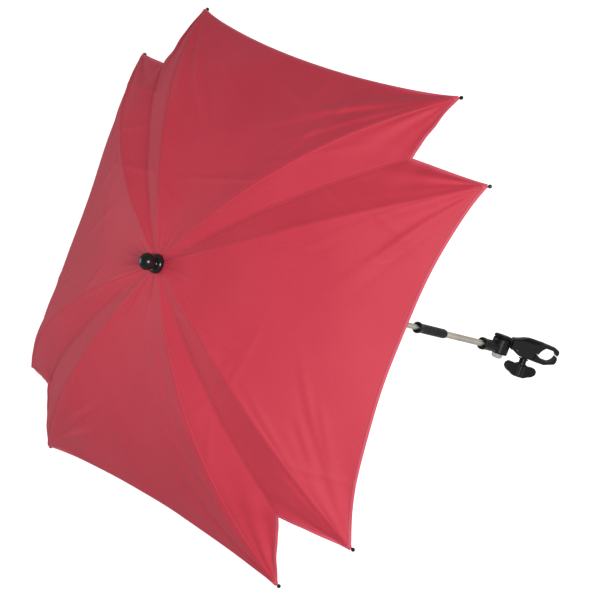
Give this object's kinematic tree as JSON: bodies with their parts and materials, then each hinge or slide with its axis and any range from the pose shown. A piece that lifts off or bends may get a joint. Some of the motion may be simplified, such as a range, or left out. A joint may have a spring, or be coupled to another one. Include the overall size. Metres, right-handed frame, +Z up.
{
  "type": "clip-on parasol",
  "caption": "Square clip-on parasol: ribbed fabric canopy on a jointed steel shaft with a push-button swivel and a screw clamp for a frame tube.",
  "frame": {"origin": "centre of the clamp's closed mouth, where the frame tube's axis runs", "axes": "+Z up along the straight shaft to the top cap, canopy sides along X and Y, +X along the swivel axis away from the push button"},
  "size_m": [0.6032, 0.6033, 0.7943],
  "materials": {
    "canopy": "woven polyester, satin sheen",
    "black_plastic": "moulded, fine satin grain",
    "gloss_black": "glossy moulded",
    "tube_steel": "satin drawn tube",
    "rib_steel": "dark coated spring steel",
    "hardware": "zinc plated",
    "button_white": "milky moulded"
  },
  "bodies": {
    "clamp": {"clamp_body": "black_plastic", "jaw_pin": "hardware", "clamp_nut": "hardware", "swivel_bolt": "hardware", "swivel_nut": "hardware"},
    "jaw": {"lower_jaw": "black_plastic"},
    "washer": {"thrust_washer": "hardware"},
    "screw": {"clamp_screw": "hardware", "wing_knob": "black_plastic"},
    "socket": {"socket": "black_plastic", "lower_tube": "tube_steel", "lower_knuckle": "black_plastic", "knuckle_pin": "hardware"},
    "button": {"push_button": "button_white", "button_spring": "hardware"},
    "mast": {"upper_knuckle": "black_plastic", "upper_tube": "tube_steel", "crown": "black_plastic", "crown_wire": "hardware", "top_cap": "gloss_black"},
    "catch": {"catch_spring": "hardware"},
    "sleeve": {"sleeve": "black_plastic"},
    "runner": {"runner": "black_plastic", "runner_wire": "hardware"},
    "rib_1": {"rib_1": "rib_steel", "tip_cap_1": "black_plastic", "canopy_panel_1": "canopy"},
    "stretcher_1": {"stretcher_1": "rib_steel"},
    "rib_2": {"rib_2": "rib_steel", "tip_cap_2": "black_plastic", "canopy_panel_2": "canopy"},
    "stretcher_2": {"stretcher_2": "rib_steel"},
    "rib_3": {"rib_3": "rib_steel", "tip_cap_3": "black_plastic", "canopy_panel_3": "canopy"},
    "stretcher_3": {"stretcher_3": "rib_steel"},
    "rib_4": {"rib_4": "rib_steel", "tip_cap_4": "black_plastic", "canopy_panel_4": "canopy"},
    "stretcher_4": {"stretcher_4": "rib_steel"},
    "rib_5": {"rib_5": "rib_steel", "tip_cap_5": "black_plastic", "canopy_panel_5": "canopy"},
    "stretcher_5": {"stretcher_5": "rib_steel"},
    "rib_6": {"rib_6": "rib_steel", "tip_cap_6": "black_plastic", "canopy_panel_6": "canopy"},
    "stretcher_6": {"stretcher_6": "rib_steel"},
    "rib_7": {"rib_7": "rib_steel", "tip_cap_7": "black_plastic", "canopy_panel_7": "canopy"},
    "stretcher_7": {"stretcher_7": "rib_steel"},
    "rib_8": {"rib_8": "rib_steel", "tip_cap_8": "black_plastic", "canopy_panel_8": "canopy"},
    "stretcher_8": {"stretcher_8": "rib_steel"}
  },
  "joints": [
    {"name": "swivel", "type": "hinge", "parent": "clamp", "child": "socket", "pos_m": [-0.0132, 0.04667, 0.04667], "axis": [1, 0, 0], "range_deg": [-125, 35]},
    {"name": "button_press", "type": "slide", "parent": "socket", "child": "button", "axis": [1, 0, 0], "range_m": [0, 0.003], "stiffness_N_per_m": 700, "springref_m": -0.001},
    {"name": "knuckle_tilt", "type": "hinge", "parent": "socket", "child": "mast", "pos_m": [-0.0132, 0.04667, 0.18867], "axis": [0, 1, 0], "range_deg": [0, 75]},
    {"name": "sleeve_slide", "type": "slide", "parent": "mast", "child": "sleeve", "axis": [0, 0, 1], "range_m": [0, 0.048]},
    {"name": "catch_press", "type": "slide", "parent": "mast", "child": "catch", "axis": [-1, 0, 0], "range_m": [0, 0.0022], "stiffness_N_per_m": 400, "springref_m": -0.001},
    {"name": "canopy_fold", "type": "hinge", "parent": "mast", "child": "rib_1", "pos_m": [-0.00396, 0.0505, 0.74217], "axis": [-0.5886, 0.8084, 0], "range_deg": [0, 66], "deforming": ["canopy_panel_1", "canopy_panel_2", "canopy_panel_3", "canopy_panel_4", "canopy_panel_5", "canopy_panel_6", "canopy_panel_7", "canopy_panel_8", "catch_spring"]},
    {"name": "rib_2_fold", "type": "hinge", "parent": "mast", "child": "rib_2", "pos_m": [-0.00937, 0.05591, 0.74217], "axis": [-0.8084, 0.5886, 0], "range_deg": [0, 66], "deforming": ["canopy_panel_2"]},
    {"name": "rib_3_fold", "type": "hinge", "parent": "mast", "child": "rib_3", "pos_m": [-0.01703, 0.05591, 0.74217], "axis": [-0.8084, -0.5886, 0], "range_deg": [0, 66], "deforming": ["canopy_panel_3"]},
    {"name": "rib_4_fold", "type": "hinge", "parent": "mast", "child": "rib_4", "pos_m": [-0.02244, 0.0505, 0.74217], "axis": [-0.5886, -0.8084, 0], "range_deg": [0, 66], "deforming": ["canopy_panel_4"]},
    {"name": "rib_5_fold", "type": "hinge", "parent": "mast", "child": "rib_5", "pos_m": [-0.02244, 0.04284, 0.74217], "axis": [0.5886, -0.8084, 0], "range_deg": [0, 66], "deforming": ["canopy_panel_5"]},
    {"name": "rib_6_fold", "type": "hinge", "parent": "mast", "child": "rib_6", "pos_m": [-0.01703, 0.03743, 0.74217], "axis": [0.8084, -0.5886, 0], "range_deg": [0, 66], "deforming": ["canopy_panel_6"]},
    {"name": "rib_7_fold", "type": "hinge", "parent": "mast", "child": "rib_7", "pos_m": [-0.00937, 0.03743, 0.74217], "axis": [0.8084, 0.5886, 0], "range_deg": [0, 66], "deforming": ["canopy_panel_7"]},
    {"name": "rib_8_fold", "type": "hinge", "parent": "mast", "child": "rib_8", "pos_m": [-0.00396, 0.04284, 0.74217], "axis": [0.5886, 0.8084, 0], "range_deg": [0, 66], "deforming": ["canopy_panel_8"]},
    {"name": "stretcher_1_fold", "type": "hinge", "parent": "rib_1", "child": "stretcher_1", "pos_m": [0.14722, 0.15151, 0.71225], "axis": [0.5886, -0.8084, 0], "range_deg": [0, 132]},
    {"name": "stretcher_2_fold", "type": "hinge", "parent": "rib_2", "child": "stretcher_2", "pos_m": [0.09164, 0.20709, 0.71225], "axis": [0.8084, -0.5886, 0], "range_deg": [0, 132]},
    {"name": "stretcher_3_fold", "type": "hinge", "parent": "rib_3", "child": "stretcher_3", "pos_m": [-0.11804, 0.20709, 0.71225], "axis": [0.8084, 0.5886, 0], "range_deg": [0, 132]},
    {"name": "stretcher_4_fold", "type": "hinge", "parent": "rib_4", "child": "stretcher_4", "pos_m": [-0.17363, 0.15151, 0.71225], "axis": [0.5886, 0.8084, 0], "range_deg": [0, 132]},
    {"name": "stretcher_5_fold", "type": "hinge", "parent": "rib_5", "child": "stretcher_5", "pos_m": [-0.17363, -0.05817, 0.71225], "axis": [-0.5886, 0.8084, 0], "range_deg": [0, 132]},
    {"name": "stretcher_6_fold", "type": "hinge", "parent": "rib_6", "child": "stretcher_6", "pos_m": [-0.11804, -0.11376, 0.71225], "axis": [-0.8084, 0.5886, 0], "range_deg": [0, 132]},
    {"name": "stretcher_7_fold", "type": "hinge", "parent": "rib_7", "child": "stretcher_7", "pos_m": [0.09164, -0.11376, 0.71225], "axis": [-0.8084, -0.5886, 0], "range_deg": [0, 132]},
    {"name": "stretcher_8_fold", "type": "hinge", "parent": "rib_8", "child": "stretcher_8", "pos_m": [0.14722, -0.05817, 0.71225], "axis": [-0.5886, -0.8084, 0], "range_deg": [0, 132]},
    {"name": "runner_slide", "type": "slide", "parent": "mast", "child": "runner", "axis": [0, 0, -1], "range_m": [0, 0.29645], "deforming": ["catch_spring"]},
    {"name": "screw_turn", "type": "hinge", "parent": "washer", "child": "screw", "pos_m": [-0.0132, 0.0198, 0.0198], "axis": [-1, 0, 0], "range_deg": [0, 540]},
    {"name": "screw_travel", "type": "slide", "parent": "clamp", "child": "washer", "axis": [-1, 0, 0], "range_m": [0, 0.003]},
    {"name": "jaw_open", "type": "hinge", "parent": "clamp", "child": "jaw", "pos_m": [-0.0072, 0.03005, 0.03005], "axis": [0, 0.7071, -0.7071], "range_deg": [0, 11.9]}
  ],
  "couplings": [
    {"joint": "sleeve_slide", "follows": "knuckle_tilt", "m_per_rad": 0.036669},
    {"joint": "rib_2_fold", "follows": "canopy_fold", "ratio": 1},
    {"joint": "rib_3_fold", "follows": "canopy_fold", "ratio": 1},
    {"joint": "rib_4_fold", "follows": "canopy_fold", "ratio": 1},
    {"joint": "rib_5_fold", "follows": "canopy_fold", "ratio": 1},
    {"joint": "rib_6_fold", "follows": "canopy_fold", "ratio": 1},
    {"joint": "rib_7_fold", "follows": "canopy_fold", "ratio": 1},
    {"joint": "rib_8_fold", "follows": "canopy_fold", "ratio": 1},
    {"joint": "stretcher_1_fold", "follows": "canopy_fold", "ratio": 2},
    {"joint": "stretcher_2_fold", "follows": "canopy_fold", "ratio": 2},
    {"joint": "stretcher_3_fold", "follows": "canopy_fold", "ratio": 2},
    {"joint": "stretcher_4_fold", "follows": "canopy_fold", "ratio": 2},
    {"joint": "stretcher_5_fold", "follows": "canopy_fold", "ratio": 2},
    {"joint": "stretcher_6_fold", "follows": "canopy_fold", "ratio": 2},
    {"joint": "stretcher_7_fold", "follows": "canopy_fold", "ratio": 2},
    {"joint": "stretcher_8_fold", "follows": "canopy_fold", "ratio": 2},
    {"joint": "runner_slide", "follows": "canopy_fold", "m_per_rad": 0.25735},
    {"joint": "screw_turn", "follows": "screw_travel", "rad_per_m": 3141.6},
    {"joint": "jaw_open", "follows": "screw_travel", "rad_per_m": 69.231}
  ]
}
